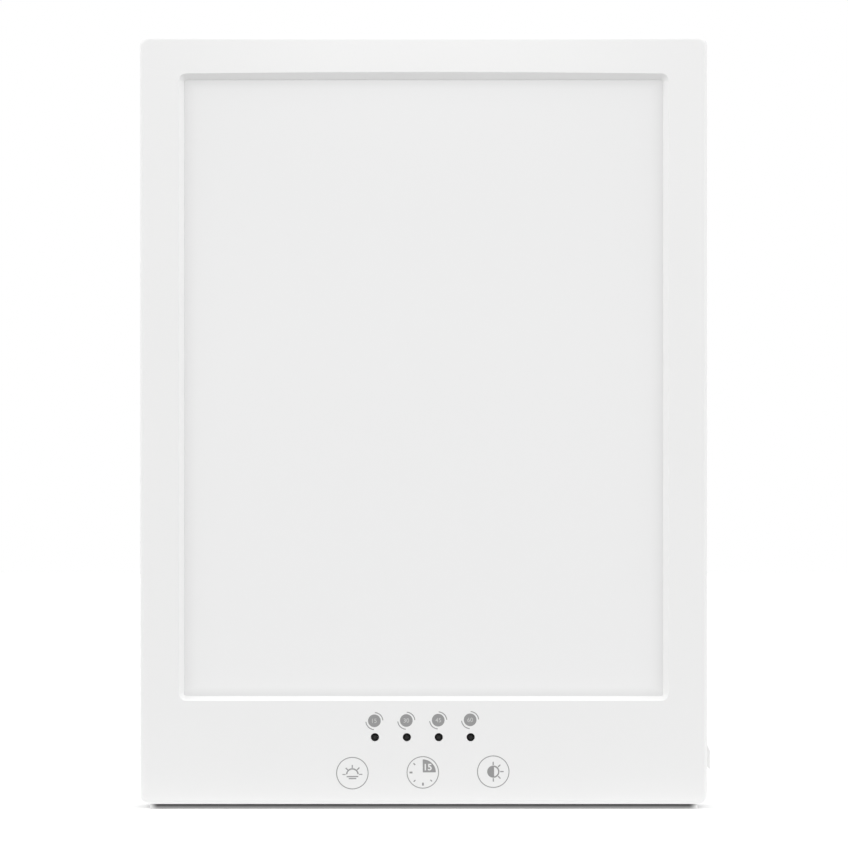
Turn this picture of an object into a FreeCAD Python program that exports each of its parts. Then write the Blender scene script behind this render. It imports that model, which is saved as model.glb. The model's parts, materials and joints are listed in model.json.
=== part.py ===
import FreeCAD, Part
import math
import os

# A desk light therapy lamp: a flat edge-lit panel, upright on its own lower edge, with a
# fold-out foot behind it, a rocker switch in its right wall and touch keys in its chin.
#
# Millimetres. X runs to the right as seen from the front, Y to the back, Z up. The origin
# lies on the table, at the middle of the footprint with the foot folded out.
# Names that start with X_, Y_ or Z_ are places; the others are sizes.

V = FreeCAD.Vector

# --- Driving dimensions: housing ------------------------------------------------------
BODY_WIDTH = 235.0
BODY_HEIGHT = 318.3
FRONT_DEPTH = 9.0            # depth of the front frame, from its face to the parting line
FLOOR_GAP = 2.0              # height of the rubber feet under the housing
WALL = 2.2
FACE_THICKNESS = 2.7
CORNER_RADIUS = 4.0          # corners of the outline, seen from the front
FRONT_FILLET = 1.8
BACK_FILLET = 3.4
PARTING_CHAMFER = 0.3
LIP_THICKNESS = 1.0          # tongue of the front frame inside the rear cover
LIP_HEIGHT = 1.6
LIP_GAP = 0.1
SNAP_LENGTH = 12.0           # ridges on the tongue that snap into grooves of the rear cover
SNAP_HEIGHT = 0.5
SNAP_WIDTH = 0.8

# --- Driving dimensions: window -------------------------------------------------------
SIDE_BORDER = 15.94          # outer edge of the housing to the outer edge of the bevel
TOP_BORDER = 15.04
CHIN_HEIGHT = 42.84
BEVEL_SIDE = 2.33
BEVEL_TOP = 3.11             # at the middle, where its outer edge arches highest
BEVEL_ARCH = 0.66
ARCH_SHARE = 0.9             # share of the top edge that is curved
BEVEL_BOTTOM = 1.87
BEVEL_OUTER_RADIUS = 3.3
BEVEL_INNER_RADIUS = 0.9

# --- Driving dimensions: light stack, front to back -----------------------------------
DIFFUSER_THICKNESS = 2.0
FILM_THICKNESS = 0.3
GUIDE_THICKNESS = 4.0
REFLECTOR_THICKNESS = 0.5
TRAY_SHEET = 1.0
EDGE_OVERLAP = 2.0           # how far the light guide reaches behind the frame
LAYER_GAP = 0.2              # play of the layers inside the tray
TRAY_RIM_GAP = 0.3           # tray rim to the back of the face
CHIP_GAP = 0.3               # LED to the edge of the light guide
CHIP_THICKNESS = 0.9
CHIP_WIDTH = 3.0
CHIP_LENGTH = 4.0
CHIP_PITCH = 16.0
BAR_THICKNESS = 1.0
EAR_WIDTH = 10.0             # screw ears of the tray
EAR_ABOVE_TRAY = 12.0        # lower ears above the lower edge of the tray

# --- Driving dimensions: indicator LEDs and touch keys --------------------------------
CONTROLS_OFFSET = -0.35       # middle of the LEDs and keys, from the middle of the housing
LED_PITCH = 13.22
LED_COUNT = 4
LED_ABOVE_BASE = 27.78       # height of the LED row above the underside of the housing
LED_HOLE_RADIUS = 1.7
LED_LENS_RADIUS = 1.6
LED_RECESS = 0.5             # top of the LED below the face
SHIELD_MARGIN = 2.4
SHIELD_GAP = 0.3             # LED to the wall of its cell
KEY_PITCH = 29.17
KEY_ABOVE_BASE = 13.23
KEY_PAD_WIDTH = 11.2
KEY_PAD_HEIGHT = 5.0         # sets the distance from the face to the control board

# --- Driving dimensions: control board ------------------------------------------------
BOARD_THICKNESS = 1.6
BOARD_EDGE_ROOM = 29.5       # end of the board to the outside of the housing
BOARD_MARGIN = 2.0           # board to the bottom wall, and to the tray above it
BOARD_ROOM = 2.3             # free depth between the board and the foot pocket
POST_WIDTH = 7.0
POST_INSET = 6.0             # board posts from the ends of the board
STAKE_WIDTH = 3.0            # peg on a post, melted over the board
STAKE_GAP = 0.2
STAKE_HEAD_WIDTH = 5.0
STAKE_HEAD_HEIGHT = 0.8

# --- Driving dimensions: screws -------------------------------------------------------
SCREW_RADIUS = 1.5
SCREW_HEAD_RADIUS = 2.8
SCREW_HEAD_HEIGHT = 2.1
SCREW_LENGTH = 8.0
SCREW_HOLE_GAP = 0.2         # radial play of a screw in the plate that it clamps
THREAD_GAP = 0.02            # radial play drawn between a screw and its own thread
TIP_ROOM = 1.0               # hole depth past the tip of a screw
BOSS_WIDTH = 7.2
PILLAR_WIDTH = 9.0
PILLAR_FLOOR = 2.4
COUNTERBORE_RADIUS = 3.3

# --- Driving dimensions: fold-out foot ------------------------------------------------
FOOT_LENGTH = 105.0          # hinge axis to the far end
FOOT_ROOT_WIDTH = 104.0
FOOT_END_WIDTH = 84.0
FOOT_THICKNESS = 8.0
FOOT_SKIN = 2.0
FOOT_WALL = 2.4
FOOT_RIB = 1.6
FOOT_RIB_COLUMNS = 4
FOOT_RIB_ROWS = 4
FOOT_CORNER = 9.0
FOOT_TAPER_START = 12.0      # distance from the hinge axis where the taper begins
KNUCKLE_RADIUS = 6.0
PIN_RADIUS = 2.0
PIN_GAP = 0.05               # running play of the foot on its pins
PIN_ENGAGEMENT = 12.0
FOOT_SIDE_GAP = 0.5
POCKET_GAP = 0.4
POCKET_WALL = 2.0
FRICTION_PLATE = 0.4         # spring leaf between the foot and each side of its pocket
FRICTION_LEG = 2.4
FRICTION_GAP = 0.1           # leaf to the pin that it straddles
SCOOP_RADIUS = 11.0          # finger scoop above the folded foot
SCOOP_DEPTH = 5.0
PAD_RADIUS = 6.0
PAD_INSET = 14.0

# --- Driving dimensions: hinge blocks in the rear cover -------------------------------
HINGE_BLOCK_WIDTH = 6.0
HINGE_BLOCK_HEIGHT = 13.0

# --- Driving dimensions: rocker switch ------------------------------------------------
ROCKER_WIDTH = 8.0
ROCKER_FACE = 8.15           # ridge to either end
ROCKER_TRAVEL = 26.0         # degrees
ROCKER_PROUD = 2.05          # raised half above the wall
ROCKER_RIDGE = 7.0           # pivot to ridge
ROCKER_ABOVE_BASE = 19.93
ROCKER_BEFORE_BACK = 8.5     # pivot to the back of the housing
ROCKER_DEPTH = 3.6           # thickness of the rocker at its ridge
ROCKER_GAP = 0.35
ROCKER_EDGE = 0.4
STEM_WIDTH = 4.4
STEM_REACH = 2.4             # stem past the pivot
TRUNNION_RADIUS = 1.2
TRUNNION_GAP = 0.05
TRUNNION_LENGTH = 1.2
SWITCH_WALL = 1.6
SWITCH_ROOM = 4.6            # cavity behind the pivot
TERMINAL_LENGTH = 6.5
TERMINAL_WIDTH = 4.8
TERMINAL_THICKNESS = 0.8
TERMINAL_PITCH = 8.0
SWITCH_RIB = 1.6

# --- Driving dimensions: power inlet --------------------------------------------------
JACK_SIZE = 11.0
JACK_INSET = 16.0            # jack from the end of the board
JACK_ABOVE_BASE = 28.4
JACK_NOSE_RADIUS = 4.0
JACK_NOSE_GAP = 0.2
JACK_NOSE_RECESS = 0.5
JACK_BORE_RADIUS = 3.0
JACK_BORE_DEPTH = 9.5

# --- Driving dimensions: keyholes and vents in the rear wall --------------------------
KEYHOLE_SPACING = 120.0
KEYHOLE_BELOW_TOP = 50.0
KEYHOLE_RADIUS = 4.25
KEYHOLE_SLOT_RADIUS = 2.25
KEYHOLE_SLOT_RISE = 9.0
KEYHOLE_ROOM = 2.0           # clear space round a screw head behind the wall
KEYHOLE_DEPTH = 5.0
KEYHOLE_LINER = 1.5
VENT_LENGTH = 24.0
VENT_WIDTH = 2.4
VENT_PITCH_X = 31.0
VENT_PITCH_Z = 6.0
TOP_VENT_COLUMNS = 3
TOP_VENT_ROWS = 7
TOP_VENT_BELOW_TOP = 26.0
SIDE_VENT_ROWS = 5
SIDE_VENT_ABOVE_BASE = 58.0

# --- Driving dimensions: driver board on the back of the tray -------------------------
DRIVER_WIDTH = 92.0
DRIVER_HEIGHT = 44.0
TAPE_THICKNESS = 1.5         # foam tape under the driver board
TAPE_WIDTH = 12.0

# --- Driving dimensions: parts on the boards ------------------------------------------
CIRCUIT_SIZE = 10.0
CIRCUIT_HEIGHT = 1.2
COIL_SIZE = 11.0
COIL_HEIGHT = 5.5
CAN_RADIUS = 4.0
CAN_HEIGHT = 7.0
PLUG_LENGTH = 12.0
PLUG_WIDTH = 5.0
PLUG_HEIGHT = 5.0
PART_PITCH = 16.0            # spacing of the tall parts along a board

# --- Driving dimensions: flat cable and switch leads ----------------------------------
CABLE_WIDTH = 10.0
CABLE_THICKNESS = 0.4
CABLE_OFFSET = 30.0          # middle of the lamp to the middle of the cable
CABLE_BEND = 4.0
CABLE_RAMP = 18.0            # height over which the cable leaves the tray
CABLE_RUN_IN = 12.0          # straight stretch below the plug of the driver board
LEAD_WIDTH = 2.4
LEAD_THICKNESS = 0.8
LEAD_BEND = 6.0
LEAD_OVERLAP = 4.0           # stretch soldered along a blade of the switch
LEAD_INSET = 1.5             # lead from the end of the control board

# --- Driving dimensions: feet ---------------------------------------------------------
STRIP_DEPTH = 5.5
STRIP_INSET = 0.4            # strip behind the front fillet
REAR_FOOT_LENGTH = 34.0
REAR_FOOT_DEPTH = 6.0
REAR_FOOT_INSET = 14.0
RUBBER_CHAMFER = 0.4

OVERSHOOT = 1.0              # how far a cutting solid runs past what it cuts
WINDOW_OVERSHOOT = 0.2       # the same for the tapered window
SAME_PLACE = 1e-5            # edges this close to a plane lie in it

# --- Places across the depth ----------------------------------------------------------
BODY_DEPTH = (FACE_THICKNESS + KEY_PAD_HEIGHT + BOARD_THICKNESS + BOARD_ROOM
              + POCKET_WALL + POCKET_GAP + 2 * KNUCKLE_RADIUS)
Y_FRONT = -(BODY_DEPTH - KNUCKLE_RADIUS + FOOT_LENGTH) / 2
Y_BACK = Y_FRONT + BODY_DEPTH
Y_FACE = Y_FRONT + FACE_THICKNESS
Y_PART = Y_FRONT + FRONT_DEPTH
Y_WALL = Y_BACK - WALL
Y_DIFFUSER = Y_FACE + DIFFUSER_THICKNESS
Y_FILM = Y_DIFFUSER + FILM_THICKNESS
Y_GUIDE = Y_FILM + GUIDE_THICKNESS
Y_REFLECTOR = Y_GUIDE + REFLECTOR_THICKNESS
Y_TRAY = Y_REFLECTOR + TRAY_SHEET
Y_BOARD = Y_FACE + KEY_PAD_HEIGHT
Y_BOARD_BACK = Y_BOARD + BOARD_THICKNESS
Y_SEAT = Y_TRAY + PILLAR_FLOOR
Y_DRIVER = Y_TRAY + TAPE_THICKNESS
Y_DRIVER_BACK = Y_DRIVER + BOARD_THICKNESS

# --- Places across the width and height -----------------------------------------------
X_SIDE = BODY_WIDTH / 2
Z_BASE = FLOOR_GAP
Z_TOP = Z_BASE + BODY_HEIGHT
X_OPEN = X_SIDE - SIDE_BORDER - BEVEL_SIDE
Z_OPEN_LOW = Z_BASE + CHIN_HEIGHT + BEVEL_BOTTOM
Z_OPEN_HIGH = Z_TOP - TOP_BORDER - BEVEL_TOP
X_GUIDE = X_OPEN + EDGE_OVERLAP
X_CHIP = X_GUIDE + CHIP_GAP
X_BAR = X_CHIP + CHIP_THICKNESS
X_TRAY = X_BAR + BAR_THICKNESS
Z_GUIDE_LOW = Z_OPEN_LOW - EDGE_OVERLAP
Z_GUIDE_HIGH = Z_OPEN_HIGH + EDGE_OVERLAP
Z_TRAY_LOW = Z_GUIDE_LOW - LAYER_GAP
Z_TRAY_HIGH = Z_GUIDE_HIGH + LAYER_GAP
Z_LED = Z_BASE + LED_ABOVE_BASE
Z_KEY = Z_BASE + KEY_ABOVE_BASE
X_BOARD = X_SIDE - BOARD_EDGE_ROOM
Z_BOARD_LOW = Z_BASE + WALL + BOARD_MARGIN
Z_BOARD_HIGH = Z_TRAY_LOW - TRAY_SHEET - BOARD_MARGIN

# The housing's four screws also clamp the tray's ears
X_SIDE_SCREW = (X_TRAY + TRAY_SHEET + X_SIDE - WALL) / 2
Z_LOW_SCREW = Z_TRAY_LOW + EAR_ABOVE_TRAY
Z_TOP_SCREW = (Z_TRAY_HIGH + TRAY_SHEET + Z_TOP - WALL) / 2
HOUSING_SCREWS = [(side * X_SIDE_SCREW, z) for side in (-1, 1) for z in (Z_LOW_SCREW, Z_TOP_SCREW)]
BOARD_POSTS = [(side * (X_BOARD - POST_INSET), (Z_BOARD_LOW + Z_BOARD_HIGH) / 2)
               for side in (-1, 1)]
LED_PLACES = [CONTROLS_OFFSET + (n - (LED_COUNT - 1) / 2) * LED_PITCH for n in range(LED_COUNT)]

# Fold-out foot and its pocket
Y_HINGE = Y_BACK - KNUCKLE_RADIUS
Z_HINGE = Z_BASE + KNUCKLE_RADIUS
X_ROOT = FOOT_ROOT_WIDTH / 2
X_POCKET = X_ROOT + FOOT_SIDE_GAP
X_BLOCK = X_POCKET + POCKET_WALL + HINGE_BLOCK_WIDTH
Z_POCKET_TOP = Z_HINGE + FOOT_LENGTH + POCKET_GAP

# Rocker switch: pressed in at its upper end, with its lower half parallel to the wall
HALF_TRAVEL = math.radians(ROCKER_TRAVEL / 2)
X_PIVOT = X_SIDE + ROCKER_PROUD - ROCKER_RIDGE * math.cos(HALF_TRAVEL)
Y_PIVOT = Y_BACK - ROCKER_BEFORE_BACK
Z_PIVOT = Z_BASE + ROCKER_ABOVE_BASE
ROCKER_SWEEP = math.hypot(ROCKER_RIDGE - ROCKER_FACE * math.sin(HALF_TRAVEL),
                          ROCKER_FACE * math.cos(HALF_TRAVEL))
X_SWITCH_BACK = X_PIVOT - SWITCH_ROOM - SWITCH_WALL
SWITCH_HALF_DEPTH = ROCKER_WIDTH / 2 + ROCKER_GAP + SWITCH_WALL
SWITCH_HALF_HEIGHT = ROCKER_SWEEP + ROCKER_GAP + SWITCH_WALL

# Power inlet, keyholes and driver board
X_JACK = -(X_BOARD - JACK_INSET)
Z_JACK = Z_BASE + JACK_ABOVE_BASE
Z_KEYHOLE = Z_TOP - KEYHOLE_BELOW_TOP
Z_DRIVER = (Z_POCKET_TOP + SCOOP_RADIUS + Z_KEYHOLE) / 2
Z_DRIVER_PLUG = Z_DRIVER - DRIVER_HEIGHT / 2 + PLUG_WIDTH
Z_BOARD_PLUG = Z_BOARD_HIGH - PLUG_WIDTH


# --- Basic shapes ---------------------------------------------------------------------
def box(x_low, x_high, y_low, y_high, z_low, z_high):
    """Block between two corners."""
    return Part.makeBox(x_high - x_low, y_high - y_low, z_high - z_low, V(x_low, y_low, z_low))


def post(x, z, width, y_low, y_high):
    """Square block along Y."""
    half = width / 2
    return box(x - half, x + half, y_low, y_high, z - half, z + half)


def rod_x(x_low, x_high, y, z, radius):
    """Cylinder along X."""
    return Part.makeCylinder(radius, x_high - x_low, V(x_low, y, z), V(1, 0, 0))


def rod_y(x, y_low, y_high, z, radius):
    """Cylinder along Y."""
    return Part.makeCylinder(radius, y_high - y_low, V(x, y_low, z), V(0, 1, 0))


def rod_z(x, y, z_low, z_high, radius):
    """Cylinder along Z."""
    return Part.makeCylinder(radius, z_high - z_low, V(x, y, z_low), V(0, 0, 1))


def flip_x(shape):
    """The same shape on the other side of the lamp."""
    return shape.mirror(V(0, 0, 0), V(1, 0, 0))


def both_sides(shape):
    """A right-hand piece and its mirror image on the left."""
    return [shape, flip_x(shape)]


def rounded_wire(corners, place):
    """Closed outline through corners (u, v, radius); place(u, v) gives the point in space.

    A corner with no radius stays sharp.
    """
    bends = []
    for i, (u, v, radius) in enumerate(corners):
        here = V(u, v, 0)
        before = V(corners[i - 1][0], corners[i - 1][1], 0) - here
        after = V(corners[(i + 1) % len(corners)][0], corners[(i + 1) % len(corners)][1], 0) - here
        half = before.getAngle(after) / 2
        before.normalize()
        after.normalize()
        inward = before + after
        inward.normalize()
        start = here + before * (radius / math.tan(half))
        end = here + after * (radius / math.tan(half))
        middle = here + inward * (radius / math.sin(half) - radius)
        bends.append((radius, [place(p.x, p.y) for p in (start, middle, end)]))
    edges = []
    for i, (radius, (start, middle, end)) in enumerate(bends):
        if radius > 0:
            edges.append(Part.Arc(start, middle, end).toShape())
        edges.append(Part.LineSegment(end, bends[(i + 1) % len(bends)][1][0]).toShape())
    return Part.Wire(edges)


def in_plane_y(y):
    """Outlines drawn in X and Z, at depth y."""
    return lambda u, v: V(u, y, v)


def slab(x_low, x_high, z_low, z_high, radius, y_low, y_high):
    """Plate across the depth, with rounded corners."""
    corners = [(x_low, z_low, radius), (x_high, z_low, radius),
               (x_high, z_high, radius), (x_low, z_high, radius)]
    face = Part.Face(rounded_wire(corners, in_plane_y(y_low)))
    return face.extrude(V(0, y_high - y_low, 0))


def band(path, thickness, bend, place):
    """Edge-on face of a strip along points (u, v), its middle line bent at each inner point."""
    points = [V(u, v, 0) for u, v in path]
    runs = [b - a for a, b in zip(points, points[1:])]
    for run in runs:
        run.normalize()
    left, right = [], []
    for i, p in enumerate(points):
        into, out = runs[max(i - 1, 0)], runs[min(i, len(runs) - 1)]
        mitre = V(-into.y - out.y, into.x + out.x, 0) * (thickness / 2 / (1 + into.dot(out)))
        turn = into.cross(out).z
        inner = math.copysign(thickness / 2, turn)
        left.append(((p + mitre).x, (p + mitre).y, bend - inner if turn else 0.0))
        right.append(((p - mitre).x, (p - mitre).y, bend + inner if turn else 0.0))
    return Part.Face(rounded_wire(left + right[::-1], place))


def edges_in_plane_y(shape, y):
    """All edges of a shape that lie at depth y."""
    return [e for e in shape.Edges
            if abs(e.BoundBox.YMin - y) < SAME_PLACE and abs(e.BoundBox.YMax - y) < SAME_PLACE]


def fuse(shapes):
    """One solid from touching or crossing ones."""
    return shapes[0].multiFuse(shapes[1:]).removeSplitter()


def housing_screw(x, z):
    """Screw from behind, seated in a pillar of the rear cover."""
    shank = rod_y(x, Y_SEAT - SCREW_LENGTH, Y_SEAT, z, SCREW_RADIUS)
    return shank.fuse(rod_y(x, Y_SEAT, Y_SEAT + SCREW_HEAD_HEIGHT, z, SCREW_HEAD_RADIUS))


# --- Front frame ----------------------------------------------------------------------
def window_wire(y):
    """Outline of the bevelled window at depth y, from the face to the back of the face."""
    inward = (y - Y_FRONT) / FACE_THICKNESS
    radius = BEVEL_OUTER_RADIUS + (BEVEL_INNER_RADIUS - BEVEL_OUTER_RADIUS) * inward
    x = X_OPEN + BEVEL_SIDE * (1 - inward)
    low = Z_OPEN_LOW - BEVEL_BOTTOM * (1 - inward)
    high = Z_OPEN_HIGH + (BEVEL_TOP - BEVEL_ARCH) * (1 - inward)
    peak = BEVEL_ARCH * (1 - inward) / (1 - ARCH_SHARE / 2)
    arch_radius = ARCH_SHARE * x ** 2 / abs(peak)
    corners = [(-x, low, radius), (x, low, radius), (x, high, radius),
               (0.0, high + peak, arch_radius), (-x, high, radius)]
    return rounded_wire(corners, in_plane_y(y))


def window():
    """Tapered hole that the light comes out of."""
    return Part.makeLoft([window_wire(Y_FRONT - WINDOW_OVERSHOOT),
                          window_wire(Y_FACE + WINDOW_OVERSHOOT)], True, True)


def shell(y_low, y_high, y_parting, fillet):
    """Solid outline of one housing half, its outer edge rounded and its parting edge broken."""
    y_outer = y_low + y_high - y_parting
    block = slab(-X_SIDE, X_SIDE, Z_BASE, Z_TOP, CORNER_RADIUS, y_low, y_high)
    radius = min(fillet, CORNER_RADIUS - PARTING_CHAMFER)
    block = block.makeChamfer(PARTING_CHAMFER, edges_in_plane_y(block, y_parting))
    return block.makeFillet(radius, edges_in_plane_y(block, y_outer))


def inside(y_low, y_high, grow=0.0):
    """Room between the outer walls, grown outwards into the walls by a given amount."""
    inset = WALL - grow
    return slab(-X_SIDE + inset, X_SIDE - inset, Z_BASE + inset, Z_TOP - inset,
                CORNER_RADIUS - inset, y_low, y_high)


def snaps(grow):
    """Ridges along the outside of the tongue: on each side wall, and twice on the bottom wall."""
    x = X_SIDE - WALL + LIP_THICKNESS
    z = Z_BASE + WALL - LIP_THICKNESS
    y_low = Y_PART + (LIP_HEIGHT - SNAP_WIDTH) / 2 - grow
    y_high = y_low + SNAP_WIDTH + 2 * grow
    half = SNAP_LENGTH / 2 + grow
    middle = (Z_LOW_SCREW + Z_TOP_SCREW) / 2
    rise = SNAP_HEIGHT + grow
    side = box(x - LIP_THICKNESS / 2, x + rise, y_low, y_high, middle - half, middle + half)
    low = box(X_BOARD - half, X_BOARD + half, y_low, y_high, z - rise, z + LIP_THICKNESS / 2)
    return both_sides(side) + both_sides(low)


def front_frame():
    frame = shell(Y_FRONT, Y_PART, Y_PART, FRONT_FILLET).cut(inside(Y_FACE, Y_PART + OVERSHOOT))
    lip = inside(Y_PART - LIP_HEIGHT, Y_PART + LIP_HEIGHT, LIP_THICKNESS).cut(
        inside(Y_PART - LIP_HEIGHT - OVERSHOOT, Y_PART + LIP_HEIGHT + OVERSHOOT))
    added = [post(x, z, BOSS_WIDTH, Y_FACE, Y_REFLECTOR) for x, z in HOUSING_SCREWS]
    for x, z in BOARD_POSTS:
        added.append(post(x, z, POST_WIDTH, Y_FACE, Y_BOARD))
        added.append(post(x, z, STAKE_WIDTH, Y_BOARD, Y_BOARD_BACK))
        added.append(post(x, z, STAKE_HEAD_WIDTH, Y_BOARD_BACK, Y_BOARD_BACK + STAKE_HEAD_HEIGHT))
    frame = fuse([frame, lip] + added + snaps(0.0))
    threads = [rod_y(x, Y_SEAT - SCREW_LENGTH - TIP_ROOM, Y_REFLECTOR + OVERSHOOT, z,
                     SCREW_RADIUS + THREAD_GAP)
               for x, z in HOUSING_SCREWS]
    led_holes = [rod_y(x, Y_FRONT - OVERSHOOT, Y_FACE + OVERSHOOT, Z_LED, LED_HOLE_RADIUS)
                 for x in LED_PLACES]
    return frame.cut([window()] + threads + led_holes)


# --- Light stack ----------------------------------------------------------------------
def layer(y_low, y_high):
    """Sheet that fills the tray from side to side."""
    x = X_TRAY - LAYER_GAP
    return box(-x, x, y_low, y_high, Z_GUIDE_LOW, Z_GUIDE_HIGH)


def light_guide():
    return box(-X_GUIDE, X_GUIDE, Y_FILM, Y_GUIDE, Z_GUIDE_LOW, Z_GUIDE_HIGH)


def led_bar():
    """Circuit strip of the right-hand edge."""
    return box(X_BAR, X_TRAY, Y_FILM, Y_GUIDE, Z_GUIDE_LOW, Z_GUIDE_HIGH)


def led_chips():
    """LEDs of the right-hand strip, spread evenly over its length."""
    length = Z_GUIDE_HIGH - Z_GUIDE_LOW
    count = int(length / CHIP_PITCH)
    first = (Z_GUIDE_LOW + Z_GUIDE_HIGH - (count - 1) * CHIP_PITCH) / 2
    y = (Y_FILM + Y_GUIDE) / 2
    return [box(X_CHIP, X_BAR, y - CHIP_WIDTH / 2, y + CHIP_WIDTH / 2,
                first + n * CHIP_PITCH - CHIP_LENGTH / 2, first + n * CHIP_PITCH + CHIP_LENGTH / 2)
            for n in range(count)]


def backlight_tray():
    """Sheet metal tray that holds the stack, with ears screwed to the front frame."""
    x = X_TRAY + TRAY_SHEET
    tray = box(-x, x, Y_FACE + TRAY_RIM_GAP, Y_TRAY, Z_TRAY_LOW - TRAY_SHEET, Z_TRAY_HIGH + TRAY_SHEET)
    tray = tray.cut(box(-X_TRAY, X_TRAY, Y_FACE, Y_REFLECTOR, Z_TRAY_LOW, Z_TRAY_HIGH))
    ear = EAR_WIDTH / 2
    reach = BOSS_WIDTH / 2
    x_end = X_SIDE_SCREW + reach
    low_ear = box(X_TRAY, x_end, Y_REFLECTOR, Y_TRAY, Z_LOW_SCREW - ear, Z_LOW_SCREW + ear)
    top_ear = box(X_TRAY - ear, x_end, Y_REFLECTOR, Y_TRAY, Z_TRAY_HIGH - ear, Z_TOP_SCREW + reach)
    tray = fuse([tray] + both_sides(low_ear) + both_sides(top_ear))
    return tray.cut([rod_y(x, Y_REFLECTOR - OVERSHOOT, Y_TRAY + OVERSHOOT, z,
                           SCREW_RADIUS + SCREW_HOLE_GAP)
                     for x, z in HOUSING_SCREWS])


# --- Control board, indicator LEDs and touch keys -------------------------------------
def control_board():
    board = box(-X_BOARD, X_BOARD, Y_BOARD, Y_BOARD_BACK, Z_BOARD_LOW, Z_BOARD_HIGH)
    return board.cut([post(x, z, STAKE_WIDTH + 2 * STAKE_GAP, Y_BOARD - OVERSHOOT,
                           Y_BOARD_BACK + OVERSHOOT)
                      for x, z in BOARD_POSTS])


def key_pad(n):
    """Conductive foam pad that carries touch key n, -1 to 1, from the face to the board."""
    return post(CONTROLS_OFFSET + n * KEY_PITCH, Z_KEY, KEY_PAD_WIDTH, Y_FACE, Y_BOARD)


def indicator_leds():
    """Round LEDs that stand on the board and end below the face."""
    return [rod_y(x, Y_FRONT + LED_RECESS, Y_BOARD, Z_LED, LED_LENS_RADIUS) for x in LED_PLACES]


def led_shield():
    """Dark block with one cell per indicator, so that each lights its own hole only."""
    cell = LED_LENS_RADIUS + SHIELD_GAP
    margin = cell + SHIELD_MARGIN
    block = box(LED_PLACES[0] - margin, LED_PLACES[-1] + margin, Y_FACE, Y_BOARD,
                Z_LED - margin, Z_LED + margin)
    return block.cut([post(x, Z_LED, 2 * cell, Y_FACE - OVERSHOOT, Y_BOARD + OVERSHOOT)
                      for x in LED_PLACES])


def circuit(x, z, y, size):
    """Flat integrated circuit on a board, standing on depth y."""
    return post(x, z, size, y, y + CIRCUIT_HEIGHT)


def coil(x, z, y):
    """Square choke."""
    return post(x, z, COIL_SIZE, y, y + COIL_HEIGHT)


def plug_block(x, z, y):
    """Board connector."""
    return box(x - PLUG_LENGTH / 2, x + PLUG_LENGTH / 2, y, y + PLUG_HEIGHT,
               z - PLUG_WIDTH / 2, z + PLUG_WIDTH / 2)


def board_parts():
    """Parts on the back of the control board; the tall ones stand beside the foot pocket."""
    z = (Z_BOARD_LOW + Z_BOARD_HIGH) / 2
    x = X_BLOCK + COIL_SIZE / 2
    return [circuit(0.0, z, Y_BOARD_BACK, CIRCUIT_SIZE),
            circuit(PART_PITCH, z, Y_BOARD_BACK, CIRCUIT_SIZE / 2),
            circuit(-PART_PITCH, z, Y_BOARD_BACK, CIRCUIT_SIZE / 2),
            coil(x, z, Y_BOARD_BACK),
            plug_block(CABLE_OFFSET, Z_BOARD_PLUG, Y_BOARD_BACK)]


# --- Power inlet ----------------------------------------------------------------------
def dc_jack():
    """Upright barrel jack: a body on the board and a round nose in the rear wall."""
    half = JACK_SIZE / 2
    body = box(X_JACK - half, X_JACK + half, Y_BOARD_BACK, Y_WALL, Z_JACK - half, Z_JACK + half)
    mouth = Y_BACK - JACK_NOSE_RECESS
    nose = rod_y(X_JACK, Y_WALL, mouth, Z_JACK, JACK_NOSE_RADIUS)
    bore = rod_y(X_JACK, mouth - JACK_BORE_DEPTH, mouth + OVERSHOOT, Z_JACK, JACK_BORE_RADIUS)
    return body.fuse(nose).cut(bore)


# --- Driver board ---------------------------------------------------------------------
def driver_tape():
    """Strips of foam tape between the tray and the driver board."""
    z = DRIVER_HEIGHT / 2
    x = DRIVER_WIDTH / 2
    strip = box(x - TAPE_WIDTH, x, Y_TRAY, Y_DRIVER, Z_DRIVER - z, Z_DRIVER + z)
    return both_sides(strip)


def driver_board():
    x = DRIVER_WIDTH / 2
    z = DRIVER_HEIGHT / 2
    return box(-x, x, Y_DRIVER, Y_DRIVER_BACK, Z_DRIVER - z, Z_DRIVER + z)


def driver_parts():
    """Two chokes, a round capacitor, the control circuit and two connectors of the LED driver."""
    side = PART_PITCH
    return [coil(-side, Z_DRIVER, Y_DRIVER_BACK), coil(side, Z_DRIVER, Y_DRIVER_BACK),
            rod_y(2 * side, Y_DRIVER_BACK, Y_DRIVER_BACK + CAN_HEIGHT, Z_DRIVER, CAN_RADIUS),
            circuit(0.0, Z_DRIVER, Y_DRIVER_BACK, CIRCUIT_SIZE),
            plug_block(-CABLE_OFFSET, Z_DRIVER_PLUG, Y_DRIVER_BACK),
            plug_block(CABLE_OFFSET, Z_DRIVER_PLUG, Y_DRIVER_BACK)]


def ribbon_cable():
    """Flat cable from the control board, up the back of the tray, to the driver board."""
    near = Y_TRAY + CABLE_THICKNESS / 2
    far = Y_DRIVER_BACK + PLUG_HEIGHT / 2
    z_low = Z_BOARD_PLUG + PLUG_WIDTH / 2
    z_high = Z_DRIVER_PLUG - PLUG_WIDTH / 2
    z_off = z_high - CABLE_RUN_IN
    path = [(near, z_low), (near, z_off - CABLE_RAMP), (far, z_off), (far, z_high)]
    x = CABLE_OFFSET - CABLE_WIDTH / 2
    side = band(path, CABLE_THICKNESS, CABLE_BEND, lambda u, v: V(x, u, v))
    return side.extrude(V(CABLE_WIDTH, 0, 0))


# --- Fold-out foot --------------------------------------------------------------------
def foot_corners(grow):
    """Foot outline as (across, distance from the hinge axis, radius), grown by a clearance."""
    root = X_ROOT + grow
    end = FOOT_END_WIDTH / 2 + grow
    behind = -KNUCKLE_RADIUS - grow
    return [(-root, behind, 0.0), (root, behind, 0.0), (root, FOOT_TAPER_START, 0.0),
            (end, FOOT_LENGTH + grow, FOOT_CORNER + grow),
            (-end, FOOT_LENGTH + grow, FOOT_CORNER + grow), (-root, FOOT_TAPER_START, 0.0)]


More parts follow.
